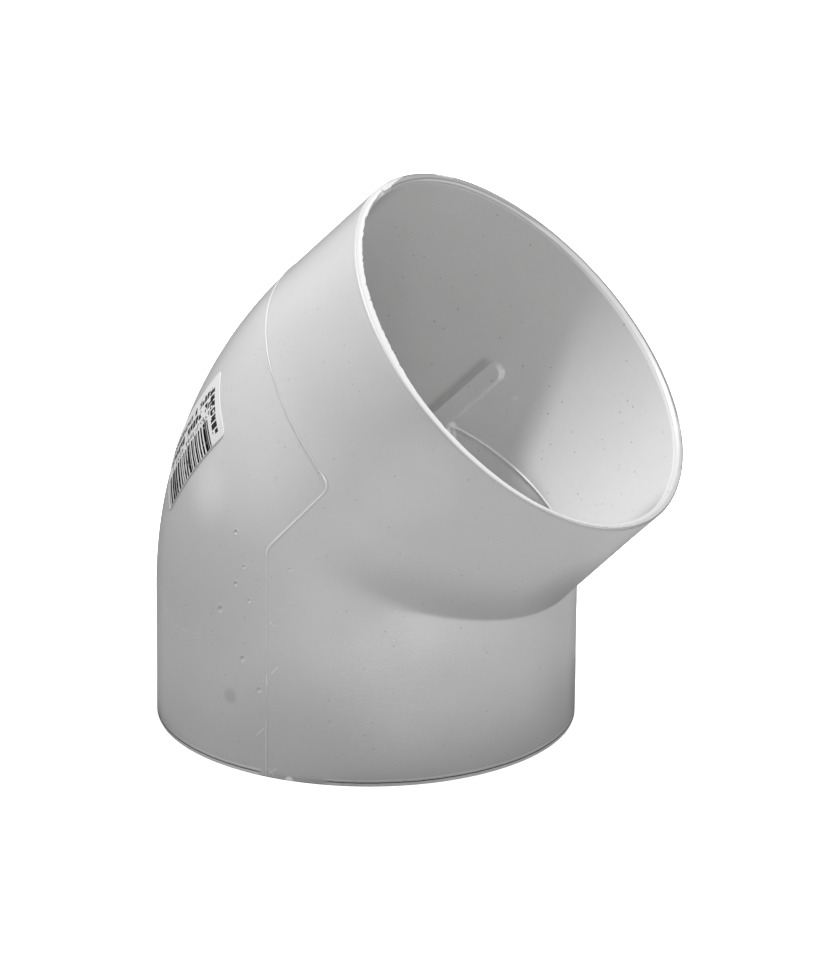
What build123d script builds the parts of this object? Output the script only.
from build123d import *
import math
import os

# 45 degree plain-socket elbow for 90 mm PVC pipe: one moulding and its label.
#
# The origin is the centre of the lower mouth, with +Z along the lower socket into
# the fitting.  The bend lies in the XZ plane and the upper socket leans to +X, so
# the crotch faces +X and the heel -X.  Lengths are millimetres, angles degrees.

# ---- pipe and socket ----
PIPE_OD = 90.0              # pipe the sockets are bored for
SOCKET_CLEAR = 0.40         # diametral clearance of the solvent-weld socket
WALL = 2.0
BORE_R = (PIPE_OD + SOCKET_CLEAR) / 2
OUTER_R = BORE_R + WALL

# ---- bend ----
BEND = 45.0                 # angle between the two socket axes
ARM = 53.15                 # mouth plane to the point where the two axes cross
BEND_R = 56.6               # centreline radius of the heel
CROTCH_R = 1.0              # outside fillet at the crotch; the bore has a sharp mitre
CROTCH_FADE_OUT = 3.0       # exponent opening the crotch corner into the heel arc, outside
CROTCH_FADE_IN = 3.0        # the same, inside
BEND_SECTIONS = 13          # loft sections from the arc start to the mitre
SECTION_POINTS = 72         # spline points around each section

# ---- mouths ----
EDGE_BEVEL = 0.45           # bevel on the outer edge
LEAD_AXIAL = 0.70           # lead-in chamfer, along the axis
LEAD_RADIAL = 0.65          # lead-in chamfer, across the wall
CORE_OVERRUN = 2.0          # how far the core reaches out past each mouth

# ---- pipe stops: two ribs each side, mirrored in the mitre plane ----
INSERT_DEPTH = 33.6         # mouth plane to the tip of a rib
RIB_WIDTH = 4.5
RIB_HEIGHT = 1.15           # how far a rib stands out of the bore
RIB_OFFSET = 4.25           # rib centre to the socket axis, towards the heel
RIB_ROOT = 0.2              # overlap of a rib into the wall
RIB_BLANK_Y = 36.0          # inner end of the rib blank, before trimming
RIB_BLANK_L = 40.0          # blank length, reaching past the mitre plane
TRIM_SIZE = 200.0           # side of the block that trims the rib at the mitre

# ---- label ----
LABEL_L = 30.3
LABEL_W = 18.0
LABEL_CORNER = 1.8
LABEL_THICK = 0.12
LABEL_GAP = 0.02            # adhesive line between film and plastic
LABEL_ALONG = 1.6           # label centre along the bend from the mitre, on the centreline
LABEL_AROUND = -141.5       # label centre around the tube, 0 = crotch, 180 = heel
LABEL_TILT = -18.9          # label long axis turned from the bend direction
STAMP_BELOW = 12.0          # start of the cutting prism below the tube skin
STAMP_L = 20.0

# ---- shared geometry ----
BEND_ANGLE = math.radians(BEND)
HALF_ANGLE = math.radians(BEND / 2)
HALF_TAN = math.tan(HALF_ANGLE)
ARC_START = ARM - BEND_R * HALF_TAN         # height where the heel arc begins
CROSS = Vector(0, 0, ARM)                   # where the two socket axes cross
ARC_CENTRE = Vector(BEND_R, 0, ARC_START)
ARC_PLANE = Plane(origin=(0, 0, ARC_START), x_dir=(1, 0, 0), z_dir=(0, 0, 1))
MITRE = Plane(
    origin=CROSS,
    x_dir=(math.cos(HALF_ANGLE), 0, -math.sin(HALF_ANGLE)),
    z_dir=(math.sin(HALF_ANGLE), 0, math.cos(HALF_ANGLE)),
)


def skin_point(radius, crotch_r, fade, theta, travel):
    """Point on the lower half of the bend; travel is 0 at the arc start, 1 in the mitre.

    The heel side is a torus.  On the crotch side each line runs straight, then turns
    on an arc whose radius is crotch_r at the crotch and grows to BEND_R at the sides.
    """
    cos_t, sin_t = math.cos(theta), math.sin(theta)
    if cos_t <= 0:
        arc_r = BEND_R - radius * cos_t
        arc_z = ARC_START
    else:
        arc_r = crotch_r + (BEND_R - crotch_r) * (1 - cos_t) ** fade
        arc_z = ARM - radius * cos_t * HALF_TAN - arc_r * HALF_TAN
    straight = arc_z - ARC_START
    distance = travel * (straight + arc_r * HALF_ANGLE)
    if distance <= straight or arc_r < 1e-9:
        return Vector(radius * cos_t, radius * sin_t, ARC_START + distance)
    turn = (distance - straight) / arc_r
    return Vector(
        radius * cos_t + arc_r - arc_r * math.cos(turn),
        radius * sin_t,
        arc_z + arc_r * math.sin(turn),
    )


def bend_section(radius, crotch_r, fade, travel):
    """Closed spline around the bend at one travel."""
    points = [
        skin_point(radius, crotch_r, fade, 2 * math.pi * j / SECTION_POINTS, travel)
        for j in range(SECTION_POINTS)
    ]
    parameters = [j / SECTION_POINTS for j in range(SECTION_POINTS + 1)]
    return Wire(Edge.make_spline(points, periodic=True, parameters=parameters))


def elbow_rod(radius, crotch_r, fade, mouth):
    """Solid rod of the whole elbow at one radius.

    mouth lists the (radius, z) profile points of the mouth, from the axis outwards.
    """
    sections = [Wire(Edge.make_circle(radius, ARC_PLANE))]
    for i in range(1, BEND_SECTIONS):
        sections.append(bend_section(radius, crotch_r, fade, i / (BEND_SECTIONS - 1)))
    half_bend = Solid.make_loft(sections)

    profile = mouth + [(radius, ARC_START), (0, ARC_START)]
    outline = Wire.make_polygon([Vector(r, 0, z) for r, z in profile], close=True)
    socket = Solid.revolve(Face(outline), 360, Axis.Z)

    lower = socket.fuse(half_bend).solids()[0]
    return lower.fuse(lower.mirror(MITRE)).solids()[0]


def make_shell():
    """Outer skin less the core, which carries the lead-in chamfers."""
    outer = elbow_rod(
        OUTER_R, CROTCH_R, CROTCH_FADE_OUT,
        mouth=[(0, 0), (OUTER_R - EDGE_BEVEL, 0), (OUTER_R, EDGE_BEVEL)],
    )
    lead_r = BORE_R + LEAD_RADIAL
    core = elbow_rod(
        BORE_R, 0.0, CROTCH_FADE_IN,
        mouth=[(0, -CORE_OVERRUN), (lead_r, -CORE_OVERRUN), (lead_r, 0), (BORE_R, LEAD_AXIAL)],
    )
    return outer.cut(core).solids()[0]


def make_ribs():
    """Round-nosed ribs on the +Y and -Y walls, one in each half of the bend."""
    face_r = BORE_R - RIB_HEIGHT
    rib_face = elbow_rod(face_r, 0.0, CROTCH_FADE_IN, mouth=[(0, 0), (face_r, 0)])

    nose_r = RIB_WIDTH / 2
    nose_z = INSERT_DEPTH + nose_r
    depth = BORE_R + RIB_ROOT - RIB_BLANK_Y
    blank = Solid.make_box(
        RIB_WIDTH, depth, RIB_BLANK_L,
        Plane(origin=(-RIB_OFFSET - nose_r, RIB_BLANK_Y, nose_z)),
    )
    nose = Solid.make_cylinder(
        nose_r, depth,
        Plane(origin=(-RIB_OFFSET, RIB_BLANK_Y, nose_z), z_dir=(0, 1, 0)),
    )
    trim_corner = CROSS - MITRE.x_dir * (TRIM_SIZE / 2) - Vector(0, TRIM_SIZE / 2, 0)
    above_mitre = Solid.make_box(
        TRIM_SIZE, TRIM_SIZE, TRIM_SIZE / 2,
        Plane(origin=trim_corner, x_dir=MITRE.x_dir, z_dir=MITRE.z_dir),
    )
    rib = blank.fuse(nose).solids()[0].cut(above_mitre).solids()[0]
    rib = rib.cut(rib_face).solids()[0]
    side = [rib, rib.mirror(MITRE)]
    return side + [r.mirror(Plane.XZ) for r in side]


def make_body():
    return make_shell().fuse(*make_ribs()).solids()[0]


def make_label():
    """Thin film following the torus of the heel, cut to a rounded rectangle."""
    inner_r = OUTER_R + LABEL_GAP
    ring = Face(
        Wire(Edge.make_circle(inner_r + LABEL_THICK, ARC_PLANE)),
        [Wire(Edge.make_circle(inner_r, ARC_PLANE))],
    )
    bend_axis = Axis((ARC_CENTRE.X, ARC_CENTRE.Y, ARC_CENTRE.Z), (0, 1, 0))
    film = Solid.revolve(ring, BEND, bend_axis)

    # directions at the label's station: to the arc centre, along the bend, out of the tube
    station = LABEL_ALONG / BEND_R + BEND_ANGLE / 2
    to_centre = Vector(math.cos(station), 0, -math.sin(station))
    along = Vector(math.sin(station), 0, math.cos(station))
    around = math.radians(LABEL_AROUND)
    normal = to_centre * math.cos(around) + Vector(0, 1, 0) * math.sin(around)
    centre = ARC_CENTRE - to_centre * BEND_R + normal * OUTER_R
    tilt = math.radians(LABEL_TILT)
    long_axis = along * math.cos(tilt) + normal.cross(along) * math.sin(tilt)

    place = Plane(origin=centre - normal * STAMP_BELOW, x_dir=long_axis, z_dir=normal)
    outline = (place * RectangleRounded(LABEL_L, LABEL_W, LABEL_CORNER)).faces()[0]
    stamp = Solid.extrude(outline, normal * STAMP_L)
    return film.intersect(stamp).solids()[0]


def export_piece(name, solid, color):
    solid.label = name
    solid.color = color
    export_step(solid, "parts/" + name + ".step")


os.makedirs("parts", exist_ok=True)
export_piece("elbow_body", make_body(), Color(0.86, 0.87, 0.87))
export_piece("product_label", make_label(), Color(0.97, 0.97, 0.96))
